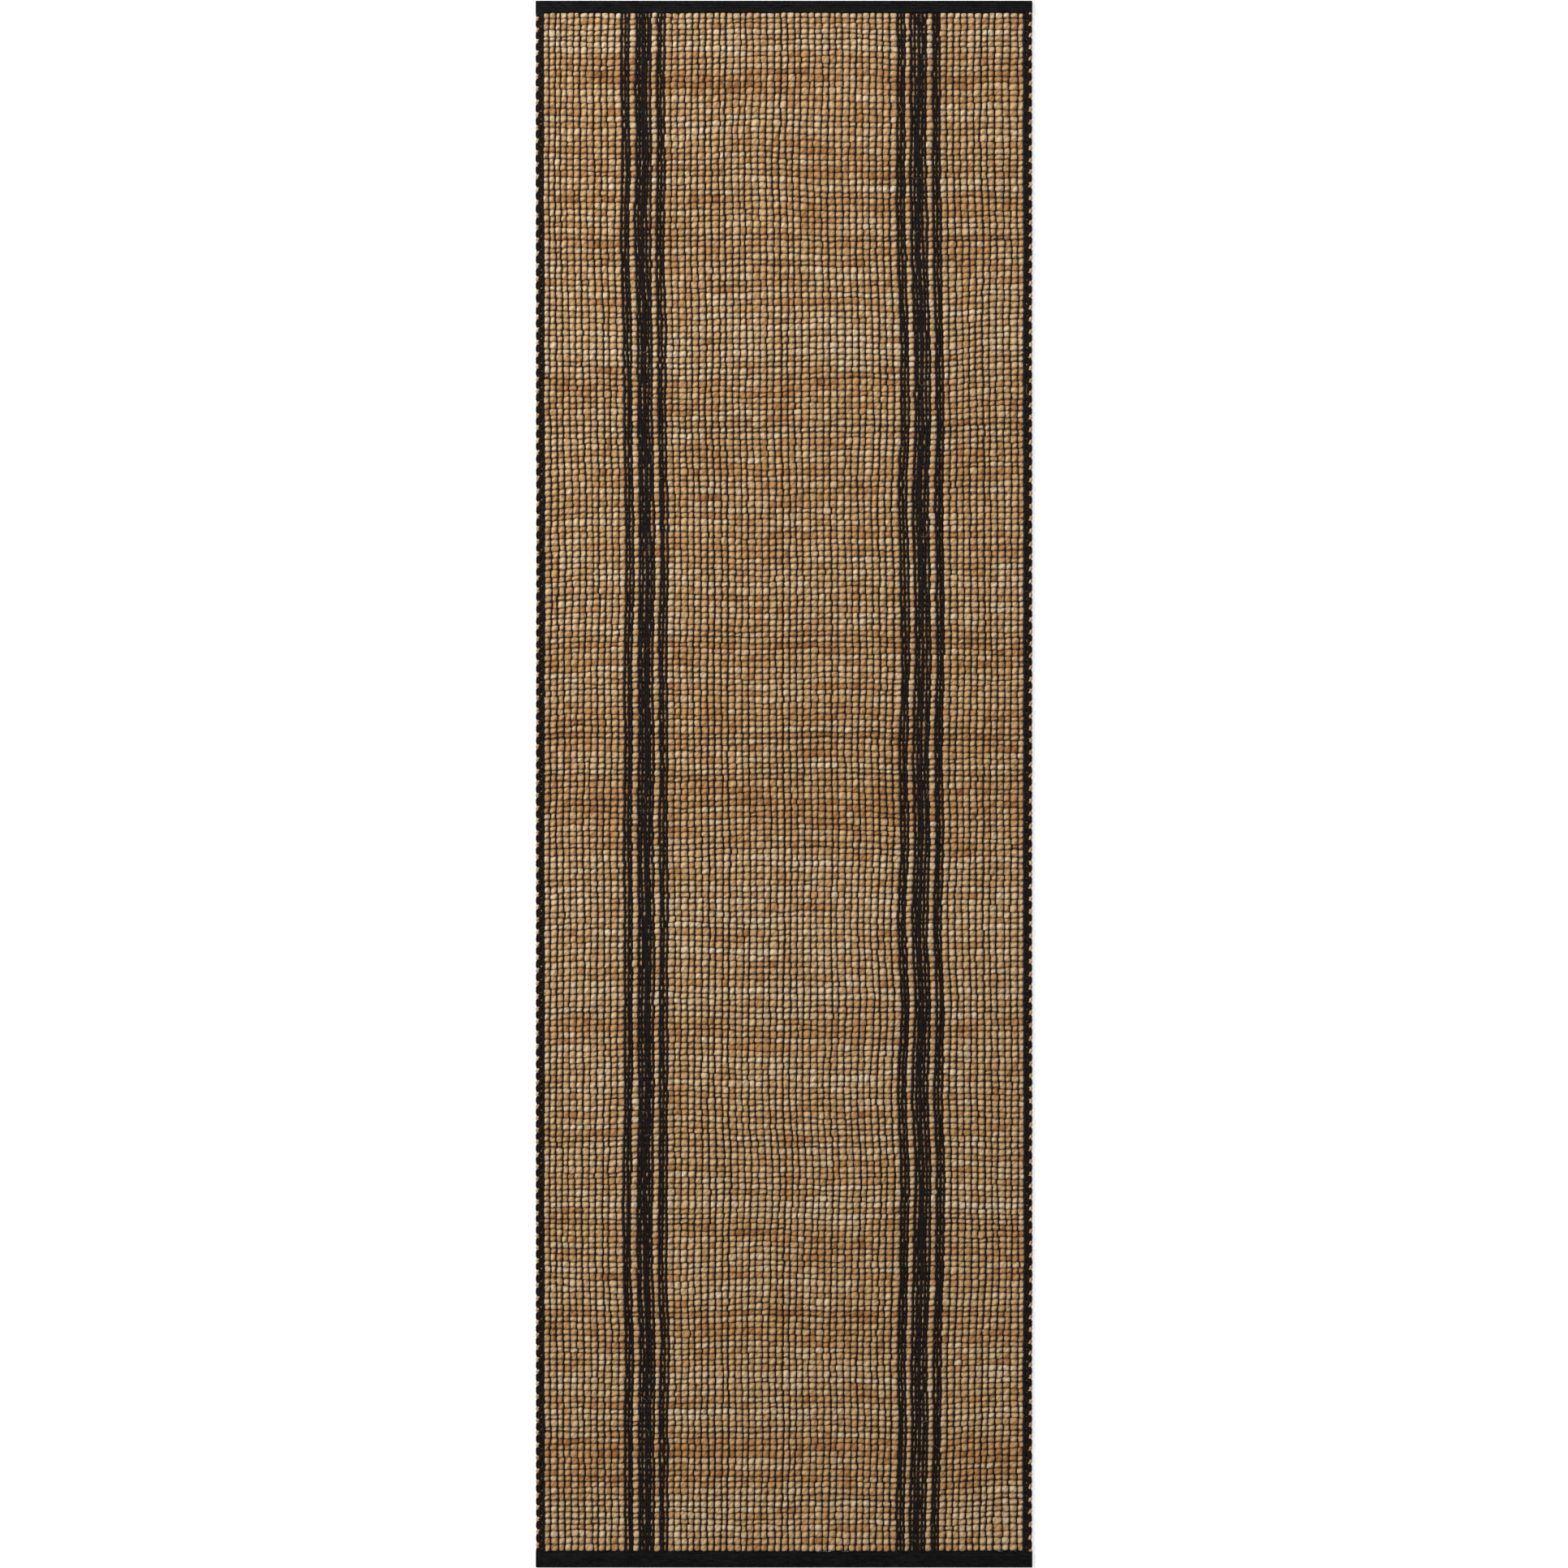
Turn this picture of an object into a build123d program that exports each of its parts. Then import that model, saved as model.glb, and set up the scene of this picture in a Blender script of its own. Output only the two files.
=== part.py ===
from build123d import *
import os

# A flat-woven runner rug, lying flat. X runs across the rug, Y along it, Z is up.
# The origin is on the underside, below the middle of the rug. All sizes are in mm.
#
# The cloth is a plain weave of thick soft jute picks across, a thin cotton binder pick
# between each two of them, and black cotton warps along. Every second warp lies in the
# face and the warps between them lie in the back, so each face shows columns of jute beads.

# Overall sizes
rug_width = 762.0           # over the weft loops
rug_length = 2405.0         # over the bound ends
rug_thickness = 9.0         # over the jute beads of both faces

# Columns of beads and rows of jute picks
side_band_columns = 12      # between selvedge and outer stripe
centre_band_columns = 34
lone_column_width = 9.3     # the single column between two stripes
row_pitch_wanted = 9.45     # one jute pick and one binder pick

# Yarns
warp_width = 2.2            # ground warp, flattened in its groove
warp_height = 1.8
warp_sink = 0.4             # warps lie this far below the bead crowns
stripe_cord_width = 2.6
stripe_speck_width = 2.0    # the jute that shows between two stripe cords
narrow_stripe_cords = 3     # outer and inner stripes
middle_stripe_cords = 3     # in each of its two halves
binder_size = 1.2

# Selvedges, from the edge inwards
loop_reach = 5.0            # how far a weft loop stands out past the edge cord
loop_share = 0.5            # of two rows, the rest is the edge cord between two loops
edge_cord_width = 2.8
selvedge_speck_width = 1.1
inner_cord_width = 2.6

# The tape folded round each end, and its two lines of sewing thread
tape_width = 59.0           # flat, from raw edge to raw edge
tape_thickness = 1.0
hem_thickness = 8.0         # over the tape, where the sewing presses the cloth
head_face_lap = 19.0        # tape that shows on the face, at the +Y end
foot_face_lap = 25.0        # and at the -Y end
warp_ramp = 4.0             # length over which a warp dips below the tape
thread_size = 0.8
thread_sink = 0.5           # depth of the groove that the thread pulls into the tape
thread_inset = 4.5          # from the tape's inner edge
thread_end_gap = 3.0        # the sewing stops short of the rug's sides

# Derived sizes
half_width = rug_width / 2
half_length = rug_length / 2
head_back_lap = tape_width - rug_thickness - head_face_lap
foot_back_lap = tape_width - rug_thickness - foot_face_lap
stripe_step = stripe_cord_width + stripe_speck_width
stripe_half_width = middle_stripe_cords * stripe_step - stripe_speck_width
narrow_stripe_width = narrow_stripe_cords * stripe_step - stripe_speck_width
selvedge_width = loop_reach + edge_cord_width + selvedge_speck_width + inner_cord_width
stripes_width = 2 * narrow_stripe_width + 2 * stripe_half_width + 2 * lone_column_width
column_pitch = (rug_width - 2 * selvedge_width - 2 * stripes_width) / (
    2 * side_band_columns + centre_band_columns)

# Rows: the jute picks that show between the two tapes
foot_field_end = -half_length + foot_face_lap
head_field_end = half_length - head_face_lap
row_count = round((head_field_end - foot_field_end) / row_pitch_wanted)
row_pitch = (head_field_end - foot_field_end) / row_count

# Where each band and stripe starts on the left half, from the edge inwards
side_band_start = -half_width + selvedge_width
outer_stripe_start = side_band_start + side_band_columns * column_pitch
outer_lone_start = outer_stripe_start + narrow_stripe_width
middle_stripe_start = outer_lone_start + lone_column_width
inner_lone_start = middle_stripe_start + 2 * stripe_half_width
inner_stripe_start = inner_lone_start + lone_column_width
centre_band_start = inner_stripe_start + narrow_stripe_width


def laid_along_x(outline, x_from, x_to):
    """The solid whose (y, z) outline is swept from x_from to x_to."""
    flat = make_face(Plane.YZ.offset(x_from) * Polyline(*outline, close=True))
    return extrude(flat, amount=x_to - x_from, dir=(1, 0, 0))


def laid_along_y(outline, y_from, y_to):
    """The solid whose (x, z) outline is swept from y_from to y_to."""
    flat = make_face(Plane.XZ.offset(-y_from) * Polyline(*outline, close=True))
    return extrude(flat, amount=y_to - y_from, dir=(0, 1, 0))


def block(x_from, x_to, y_from, y_to, z_from, z_to):
    return Pos(x_from, y_from, z_from) * Box(
        x_to - x_from, y_to - y_from, z_to - z_from, align=(Align.MIN,) * 3)


def warp_levels(on_face):
    """Heights of a warp's outer side in the open cloth and below the tape, and its two laps."""
    if on_face:
        return (rug_thickness - warp_sink, hem_thickness - tape_thickness,
                foot_face_lap, head_face_lap)
    return warp_sink, tape_thickness, foot_back_lap, head_back_lap


def warp(centre_x, width, on_face):
    """A warp yarn: flat in the open cloth, and dipping below the tape at both ends."""
    field_z, hem_z, foot_lap, head_lap = warp_levels(on_face)
    inwards = -warp_height if on_face else warp_height
    line = [
        (-half_length + tape_thickness, hem_z),
        (-half_length + foot_lap, hem_z),
        (-half_length + foot_lap + warp_ramp, field_z),
        (half_length - head_lap - warp_ramp, field_z),
        (half_length - head_lap, hem_z),
        (half_length - tape_thickness, hem_z),
    ]
    outline = line + [(y, z + inwards) for y, z in reversed(line)]
    return laid_along_x(outline, centre_x - width / 2, centre_x + width / 2)


def warp_groove(centre_x, width, on_face):
    """The groove that a warp presses into the jute, open to the face or the back."""
    _, hem_z, foot_lap, head_lap = warp_levels(on_face)
    open_z = rug_thickness if on_face else 0.0
    outer = [
        (-half_length + tape_thickness, hem_z),
        (-half_length + foot_lap, hem_z),
        (-half_length + foot_lap, open_z),
        (half_length - head_lap, open_z),
        (half_length - head_lap, hem_z),
        (half_length - tape_thickness, hem_z),
    ]
    field_z = warp_levels(on_face)[0]
    inwards = -warp_height if on_face else warp_height
    inner = [
        (half_length - tape_thickness, hem_z + inwards),
        (half_length - head_lap, hem_z + inwards),
        (half_length - head_lap - warp_ramp, field_z + inwards),
        (-half_length + foot_lap + warp_ramp, field_z + inwards),
        (-half_length + foot_lap, hem_z + inwards),
        (-half_length + tape_thickness, hem_z + inwards),
    ]
    return laid_along_x(outer + inner, centre_x - width / 2, centre_x + width / 2)


# Every warp is a (centre x, width, on the face) entry of its node. A right-hand node is the
# mirror of the left-hand one.

def between_columns(start, columns, pitch):
    """Face warps: one between each two neighbouring columns."""
    return [(start + n * pitch, warp_width, True) for n in range(1, columns)]


def behind_columns(start, columns, pitch):
    """Back warps: one behind the middle of each column."""
    return [(start + (n + 0.5) * pitch, warp_width, False) for n in range(columns)]


def stripe(start, cords):
    """Stripe cords in the face, and one in the back behind each speck between them."""
    first = start + stripe_cord_width / 2
    on_face = [(first + n * stripe_step, stripe_cord_width, True) for n in range(cords)]
    behind = [(first + (n + 0.5) * stripe_step, stripe_cord_width, False)
              for n in range(cords - 1)]
    return on_face + behind


def mirrored(entries):
    return [(-x, width, on_face) for x, width, on_face in entries]


left_warps = {
    "face_warps": between_columns(side_band_start, side_band_columns, column_pitch),
    "back_warps": (behind_columns(side_band_start, side_band_columns, column_pitch)
                   + behind_columns(outer_lone_start, 1, lone_column_width)
                   + behind_columns(inner_lone_start, 1, lone_column_width)),
    "outer_stripe": stripe(outer_stripe_start, narrow_stripe_cords),
    "middle_stripe": (stripe(middle_stripe_start, middle_stripe_cords)
                      + stripe(middle_stripe_start + stripe_half_width, middle_stripe_cords)),
    "inner_stripe": stripe(inner_stripe_start, narrow_stripe_cords),
}
warps = {
    "face_warps_centre": between_columns(centre_band_start, centre_band_columns, column_pitch),
    "back_warps_centre": behind_columns(centre_band_start, centre_band_columns, column_pitch),
}
for name, entries in left_warps.items():
    warps[name + "_left"] = entries
    warps[name + "_right"] = mirrored(entries)

nodes = {name: [warp(*entry) for entry in entries] for name, entries in warps.items()}
grooves = [warp_groove(*entry) for entries in warps.values() for entry in entries]


# Selvedges: the edge cord wraps the side of the cloth, and the jute turns round it in a
# loop at every second row. The loops of the two sides are one row apart.

edge_outer_x = half_width
edge_root_x = half_width - loop_reach
edge_inner_x = edge_root_x - edge_cord_width
inner_cord_x = edge_inner_x - selvedge_speck_width - inner_cord_width / 2


def row_line(n):
    """The y of the line between row n and the next row, where a binder pick lies."""
    return foot_field_end + n * row_pitch


def loop_lines(side):
    """The row lines where the weft turns round this side's edge cord."""
    first = 1 if side < 0 else 2
    return range(first, row_count, 2)


def edge_section(side, face_z, back_z):
    """The edge cord's section, a C round the side of the cloth, between two levels."""
    top = rug_thickness - warp_sink - warp_height
    bottom = warp_sink + warp_height
    corners = [
        (edge_inner_x, back_z), (edge_outer_x, back_z), (edge_outer_x, face_z),
        (edge_inner_x, face_z), (edge_inner_x, top), (edge_root_x, top),
        (edge_root_x, bottom), (edge_inner_x, bottom),
    ]
    return [(side * x, z) for x, z in corners]


def edge_cord(side, face_z, back_z, with_ends):
    """The edge cord, open where the weft loops pass, with its ends below the tape."""
    foot_end = -half_length + max(foot_face_lap, foot_back_lap) + warp_ramp
    head_end = half_length - max(head_face_lap, head_back_lap) - warp_ramp
    cord = laid_along_y(edge_section(side, face_z, back_z), foot_end, head_end)
    if with_ends:
        centre_x = side * (edge_inner_x + edge_root_x) / 2
        for on_face in (True, False):
            cord += warp(centre_x, edge_cord_width, on_face)
    loop_length = 2 * row_pitch * loop_share
    loops = []
    for n in loop_lines(side):
        y_from = max(row_line(n) - loop_length / 2, foot_end)
        y_to = min(row_line(n) + loop_length / 2, head_end)
        if y_to > y_from:
            x_from, x_to = sorted((side * edge_root_x, side * edge_outer_x))
            loops.append(block(x_from, x_to, y_from, y_to, 0, rug_thickness))
    return cord - loops


for side, side_name in ((-1, "left"), (1, "right")):
    inner_pair = [(side * inner_cord_x, inner_cord_width, on_face) for on_face in (True, False)]
    nodes["selvedge_cords_" + side_name] = [
        edge_cord(side, rug_thickness - warp_sink, warp_sink, True)
    ] + [warp(*entry) for entry in inner_pair]
    grooves += [warp_groove(*entry) for entry in inner_pair]
    grooves.append(edge_cord(side, rug_thickness, 0.0, False))
    edge_centre_x = side * (edge_inner_x + edge_root_x) / 2
    grooves += [warp_groove(edge_centre_x, edge_cord_width, on_face) for on_face in (True, False)]


# Binder: one thin cotton yarn across the middle of the cloth, on every row line. It turns
# back inside the edge cords, at the right after an odd line and at the left after an even one.

def binder_weft():
    half = binder_size / 2
    levels = rug_thickness / 2 - half, rug_thickness / 2 + half
    picks = [block(-edge_root_x, edge_root_x, row_line(n) - half, row_line(n) + half, *levels)
             for n in range(1, row_count)]
    turns = []
    for n in range(1, row_count - 1):
        turn_x = (1 if n % 2 else -1) * (edge_root_x - half)
        turns.append(block(turn_x - half, turn_x + half, row_line(n), row_line(n + 1), *levels))
    return picks[0] + (picks[1:] + turns)


nodes["binder_weft"] = [binder_weft()]


# Jute: the whole thickness between the tapes, and pressed thinner inside them.

jute_outline = [
    (-half_length + tape_thickness, tape_thickness),
    (-half_length + foot_back_lap, tape_thickness),
    (-half_length + foot_back_lap, 0),
    (half_length - head_back_lap, 0),
    (half_length - head_back_lap, tape_thickness),
    (half_length - tape_thickness, tape_thickness),
    (half_length - tape_thickness, hem_thickness - tape_thickness),
    (half_length - head_face_lap, hem_thickness - tape_thickness),
    (half_length - head_face_lap, rug_thickness),
    (-half_length + foot_face_lap, rug_thickness),
    (-half_length + foot_face_lap, hem_thickness - tape_thickness),
    (-half_length + tape_thickness, hem_thickness - tape_thickness),
]
jute_block = laid_along_x(jute_outline, -half_width, half_width)
nodes["jute_weft"] = [jute_block - (grooves + nodes["binder_weft"])]


# Hem tapes: one folded round each end, with a groove for the thread on each side.

def end_outline(end, points):
    """(distance in from the rug's end, z) points, as (y, z) at the -Y or +Y end."""
    return [(end * (half_length - inset), z) for inset, z in points]


def hem_tape(end, face_lap, back_lap):
    folded = laid_along_x(end_outline(end, [
        (0, 0), (back_lap, 0), (back_lap, tape_thickness), (tape_thickness, tape_thickness),
        (tape_thickness, hem_thickness - tape_thickness),
        (face_lap, hem_thickness - tape_thickness), (face_lap, hem_thickness), (0, hem_thickness),
    ]), -half_width, half_width)
    return folded - [hem_thread(end, face_lap, True), hem_thread(end, back_lap, False)]


def hem_thread(end, lap, on_face):
    """A line of sewing thread, level with the tape it is pulled into."""
    inset = lap - thread_inset
    outer_z = hem_thickness if on_face else 0.0
    inner_z = outer_z - thread_sink if on_face else thread_sink
    return laid_along_x(end_outline(end, [
        (inset - thread_size / 2, outer_z), (inset + thread_size / 2, outer_z),
        (inset + thread_size / 2, inner_z), (inset - thread_size / 2, inner_z),
    ]), -half_width + thread_end_gap, half_width - thread_end_gap)


for end, end_name, face_lap, back_lap in ((1, "head", head_face_lap, head_back_lap),
                                          (-1, "foot", foot_face_lap, foot_back_lap)):
    nodes["hem_tape_" + end_name] = [hem_tape(end, face_lap, back_lap)]
    nodes["hem_thread_face_" + end_name] = [hem_thread(end, face_lap, True)]
    nodes["hem_thread_back_" + end_name] = [hem_thread(end, back_lap, False)]


# One STEP file for each node

os.makedirs("parts", exist_ok=True)
for name, pieces in nodes.items():
    solids = [solid for piece in pieces for solid in piece.solids()]
    whole = solids[0] if len(solids) == 1 else Compound(children=solids)
    whole.label = name
    export_step(whole, "parts/" + name + ".step")
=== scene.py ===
import math

import bpy
import numpy as np
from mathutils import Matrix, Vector


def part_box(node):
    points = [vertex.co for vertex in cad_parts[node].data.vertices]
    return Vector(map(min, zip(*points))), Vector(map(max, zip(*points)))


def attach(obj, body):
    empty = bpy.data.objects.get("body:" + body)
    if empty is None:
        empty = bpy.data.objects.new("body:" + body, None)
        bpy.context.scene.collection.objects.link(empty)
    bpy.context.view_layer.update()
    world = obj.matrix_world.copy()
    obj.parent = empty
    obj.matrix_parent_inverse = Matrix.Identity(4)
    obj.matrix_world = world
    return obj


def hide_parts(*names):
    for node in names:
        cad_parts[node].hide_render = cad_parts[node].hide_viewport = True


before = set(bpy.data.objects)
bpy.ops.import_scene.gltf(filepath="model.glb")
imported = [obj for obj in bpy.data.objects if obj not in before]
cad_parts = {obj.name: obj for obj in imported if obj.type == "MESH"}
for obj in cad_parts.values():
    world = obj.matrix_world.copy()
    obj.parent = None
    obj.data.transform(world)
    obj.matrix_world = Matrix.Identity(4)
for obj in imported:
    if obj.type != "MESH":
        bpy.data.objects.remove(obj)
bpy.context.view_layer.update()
rng = np.random.default_rng(7)

MM = 0.001
LEFT, RIGHT = -1, 1


# ---------------------------------------------------------------- sizes from the frame

SPECK = 2.0 * MM              # jute that shows between the cores of two stripe cords
WARP_WIDTH = 2.2 * MM
THINNEST_WARP, THICKEST_WARP = 0.8, 1.35      # of that width
CORD_FULLNESS = 1.45          # fluff makes the stripe cords this much wider than their core
CORD_PUSH = 0.35 * MM         # of a stripe's outermost cords, away from its middle
INNER_CORD_WIDTH = 2.6 * MM
INNER_CORD_HALF = 2.6 * MM    # with its fluff and the cord pressed against it
INNER_CORD_SHIFT = 1.2 * MM   # so much nearer to the rug's middle than its core
THREAD_INSET = 4.5 * MM       # from the tape's inner edge to its line of stitches
TAPE_THICKNESS = 1.0 * MM

jute_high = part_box("jute_weft")[1]
half_width = jute_high[0]
thickness = jute_high[2]
half_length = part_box("hem_tape_head")[1][1]
hem_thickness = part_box("hem_tape_head")[1][2]

binder_low, binder_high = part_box("binder_weft")
BINDER_SIZE = binder_high[2] - binder_low[2]
ROW_COUNT = 250
row_pitch = (binder_high[1] - binder_low[1] - BINDER_SIZE) / (ROW_COUNT - 2)
field_start = binder_low[1] + BINDER_SIZE / 2 - row_pitch
field_end = field_start + ROW_COUNT * row_pitch


def evenly(node, count, width, part=0, parts=1):
    """The x of a node's face yarns, spread over its box or over one of its equal parts."""
    low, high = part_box(node)[0][0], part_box(node)[1][0]
    share = (high - low) / parts
    low, high = low + part * share, low + (part + 1) * share
    return [(x, width / 2) for x in np.linspace(low + width / 2, high - width / 2, count)]


def fuller(cords, push):
    """Stripe cords as fluffy as they are, the two outermost pressed outwards."""
    cords = [(x, half * CORD_FULLNESS) for x, half in cords]
    cords[0] = (cords[0][0] - push, cords[0][1])
    cords[-1] = (cords[-1][0] + push, cords[-1][1])
    return cords


def cord_width(node, cords):
    return (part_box(node)[1][0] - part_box(node)[0][0] - (cords - 1) * SPECK) / cords


narrow_cord = cord_width("outer_stripe_left", 3)
stripe_yarns = {}
for side in ("left", "right"):
    for name in ("outer_stripe_", "inner_stripe_"):
        stripe_yarns[name + side] = fuller(evenly(name + side, 3, narrow_cord), CORD_PUSH)
    halves = [evenly("middle_stripe_" + side, 3, narrow_cord, part, 2) for part in (0, 1)]
    stripe_yarns["middle_stripe_" + side] = fuller(halves[0] + halves[1], CORD_PUSH)

ground_yarns = {
    "face_warps_left": evenly("face_warps_left", 11, WARP_WIDTH),
    "face_warps_centre": evenly("face_warps_centre", 33, WARP_WIDTH),
    "face_warps_right": evenly("face_warps_right", 11, WARP_WIDTH),
}
inner_cord_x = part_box("selvedge_cords_right")[0][0] + INNER_CORD_WIDTH / 2 - INNER_CORD_SHIFT
inner_cords = [(side * inner_cord_x, INNER_CORD_HALF) for side in (LEFT, RIGHT)]

# All yarns that lie in the face, from left to right, each as (x, half its width, node)
face_yarns = [(x, half, node) for node, yarns in {**ground_yarns, **stripe_yarns}.items()
              for x, half in yarns]
face_yarns += [(x, half, "inner_cord") for x, half in inner_cords]
face_yarns = [
    (x, half * rng.uniform(THINNEST_WARP, THICKEST_WARP) if node in ground_yarns else half, node)
    for x, half, node in sorted(face_yarns)]
yarn_x = np.array([x for x, _, _ in face_yarns])
yarn_half = np.array([half for _, half, _ in face_yarns])
last = len(yarn_x) - 1
gaps = np.diff(yarn_x) - yarn_half[1:] - yarn_half[:-1]    # jute that shows between two of them
LEAST_BEAD, LEAST_SPECK = 4 * MM, 0.5 * MM
is_bead = gaps > LEAST_BEAD
is_speck = (gaps > LEAST_SPECK) & ~is_bead


# ---------------------------------------------------------------- noise

def eased(t):
    return t * t * (3 - 2 * t)


def noise_line(values, t):
    """Smooth noise along lines: each row of values holds one line's, at whole numbers of t."""
    low = np.clip(np.floor(t).astype(int), 0, values.shape[-1] - 2)
    f = eased(np.clip(t - low, 0, 1))
    return values[..., low] * (1 - f) + values[..., low + 1] * f


class Field:
    """Smooth noise over the rug's plane, of about the given size, with one value per spacing."""
    MARGIN = 50 * MM

    def __init__(self, spacing_x, spacing_y, size):
        self.spacing = spacing_x, spacing_y
        self.low = -half_width - self.MARGIN, -half_length - self.MARGIN
        columns = int(2 * -self.low[0] / spacing_x) + 3
        rows = int(2 * -self.low[1] / spacing_y) + 3
        self.values = rng.normal(0, size, (columns, rows))

    def __call__(self, x, y):
        u, v = (x - self.low[0]) / self.spacing[0], (y - self.low[1]) / self.spacing[1]
        i, j = np.floor(u).astype(int), np.floor(v).astype(int)
        i = np.clip(i, 0, self.values.shape[0] - 2)
        j = np.clip(j, 0, self.values.shape[1] - 2)
        f, g = eased(np.clip(u - i, 0, 1)), eased(np.clip(v - j, 0, 1))
        a = self.values[i, j] * (1 - g) + self.values[i, j + 1] * g
        b = self.values[i + 1, j] * (1 - g) + self.values[i + 1, j + 1] * g
        return a * (1 - f) + b * f


drift_x = Field(0.20, 0.13, 1.9 * MM)
slow_drift_x = Field(0.35, 0.55, 4.0 * MM)
drift_y = Field(0.13, 0.24, 2.4 * MM)
SIDE_FADE, END_FADE = 70 * MM, 90 * MM
KEPT_AT_SIDE = 0.06


def drifted(points):
    """The loom's unevenness: columns wander and rows bow, hardly at the rug's sides and ends."""
    x, y = points[..., 0].copy(), points[..., 1].copy()
    side = eased(np.clip((half_width - np.abs(x)) / SIDE_FADE, 0, 1))
    end = eased(np.clip((half_length - np.abs(y)) / END_FADE, 0, 1))
    across = drift_x(x, y) + slow_drift_x(x, y)
    points[..., 0] += across * (KEPT_AT_SIDE + (1 - KEPT_AT_SIDE) * side)
    points[..., 1] += drift_y(x, y) * end
    return points


# ---------------------------------------------------------------- meshes

def mesh_piece(name, points, faces, face_uvs, values, material, node):
    """A piece on the rug's one body. faces are its quads and then its other faces, and values
    are named numbers or vectors, one for each point."""
    quads, others = faces
    mesh = bpy.data.meshes.new(name)
    sizes = np.array([len(face) for face in others] + [4] * len(quads))
    corners = np.concatenate([np.array(face, int) for face in others] + [quads.ravel()])
    mesh.vertices.add(len(points))
    mesh.vertices.foreach_set("co", points.astype(np.float32).ravel())
    mesh.loops.add(len(corners))
    mesh.loops.foreach_set("vertex_index", corners.astype(np.int32))
    mesh.polygons.add(len(sizes))
    starts = np.concatenate([[0], np.cumsum(sizes)[:-1]])
    mesh.polygons.foreach_set("loop_start", starts.astype(np.int32))
    mesh.update(calc_edges=True)
    mesh.polygons.foreach_set("use_smooth", np.ones(len(sizes), bool))
    layer = mesh.uv_layers.new(name="OFBake")
    layer.data.foreach_set("uv", face_uvs.astype(np.float32).ravel())
    for key, numbers in values.items():
        kind, field = ("FLOAT_VECTOR", "vector") if numbers.ndim == 2 else ("FLOAT", "value")
        mesh.attributes.new(key, kind, "POINT").data.foreach_set(
            field, numbers.astype(np.float32).ravel())
    mesh.materials.append(material)
    piece = bpy.data.objects.new(name, mesh)
    bpy.context.collection.objects.link(piece)
    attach(piece, "root")
    if node:
        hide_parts(node)
    return piece


LANE_FILL = 0.9               # of each yarn's lane in its map
MAP_MARGIN = 0.001


def tube_piece(name, rings, values, material, node, strips=1):
    """Yarns as closed tubes. rings is (yarns, rings, points round, 3). Each yarn's map is cut
    into equal strips, so that a long yarn fills its map."""
    yarns, count, around, _ = rings.shape
    index = np.arange(yarns * count * around).reshape(yarns, count, around)
    turned = np.roll(index, -1, axis=2)
    quads = np.stack([index[:, :-1], turned[:, :-1], turned[:, 1:], index[:, 1:]], -1)
    steps = (count - 1) // strips
    longest = max(count - 1 - (strips - 1) * steps, steps)
    n = np.arange(count - 1)
    strip = np.minimum(n // steps, strips - 1)
    u = (n - strip * steps) / longest
    du = 1 / longest
    lane = (np.arange(yarns)[:, None] * strips + strip[None, :]) / (yarns * strips)
    lane_height = LANE_FILL / (yarns * strips)
    v = lane[:, :, None] + lane_height * np.arange(around) / around
    dv = lane_height / around
    map_length = 1 - 2 * MAP_MARGIN
    low_u = np.broadcast_to(MAP_MARGIN + map_length * u[None, :, None], v.shape)
    high_u = low_u + map_length * du
    uv = np.stack([np.stack([low_u, v], -1), np.stack([low_u, v + dv], -1),
                   np.stack([high_u, v + dv], -1), np.stack([high_u, v], -1)], -2)
    caps, cap_uv = [], []
    for yarn in range(yarns):
        caps.append(index[yarn, 0, ::-1].tolist())
        cap_uv.append(uv[yarn, 0, ::-1, 0])
        caps.append(index[yarn, -1].tolist())
        cap_uv.append(uv[yarn, -1, :, 3])
    face_uvs = np.concatenate(cap_uv + [uv.reshape(-1, 2)])
    flat = {key: np.broadcast_to(number, rings.shape[:3]).ravel() if number.ndim < 4
            else number.reshape(-1, 3) for key, number in values.items()}
    return mesh_piece(name, rings.reshape(-1, 3), (quads.reshape(-1, 4), caps), face_uvs,
                      flat, material, node)


def along(centres, half_across, half_up, around, shape=1.0):
    """Rings round paths of centres (yarns, rings, 3), with half sizes across and upwards. A
    shape under 1 makes them squarer than an ellipse."""
    step = np.gradient(centres[..., :2], axis=1)
    step /= np.maximum(np.linalg.norm(step, axis=-1, keepdims=True), 1e-9)
    across = np.stack([-step[..., 1], step[..., 0], 0 * step[..., 0]], -1)
    angle = 2 * np.pi * (np.arange(around) + 0.5) / around
    c, s = np.cos(angle), np.sin(angle)
    c, s = np.sign(c) * np.abs(c) ** shape, np.sign(s) * np.abs(s) ** shape
    rings = centres[:, :, None] + across[:, :, None] * (half_across[..., None] * c)[..., None]
    rings[..., 2] += half_up[..., None] * s
    return rings


def yarn_space(rings, twist_length, radius):
    """Where each point lies in its straight, untwisted yarn: along it, and two places in its
    section. Fibre streaks follow it."""
    steps = np.linalg.norm(np.diff(rings.mean(2), axis=1), axis=-1)
    reached = np.concatenate([np.zeros((len(rings), 1)), np.cumsum(steps, 1)], 1)
    angle = 2 * np.pi * np.arange(rings.shape[2]) / rings.shape[2]
    twist = angle[None, None] + 2 * np.pi * reached[..., None] / twist_length
    start = rng.uniform(0, 50, (len(rings), 1, 1))      # so that no two yarns look the same
    return np.stack([reached[..., None] + start + 0 * twist, radius * np.cos(twist),
                     radius * np.sin(twist) + start], -1)


# ---------------------------------------------------------------- materials

def node_material(name):
    material = bpy.data.materials.new(name)
    material.use_nodes = True
    tree = material.node_tree
    return material, tree, tree.nodes["Principled BSDF"]


def add(tree, kind, inputs=(), **settings):
    made = tree.nodes.new(kind)
    for key, setting in settings.items():
        setattr(made, key, setting)
    for socket, source in dict(inputs).items():
        if isinstance(source, bpy.types.NodeSocket):
            tree.links.new(source, made.inputs[socket])
        else:
            made.inputs[socket].default_value = source
    return made


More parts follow.
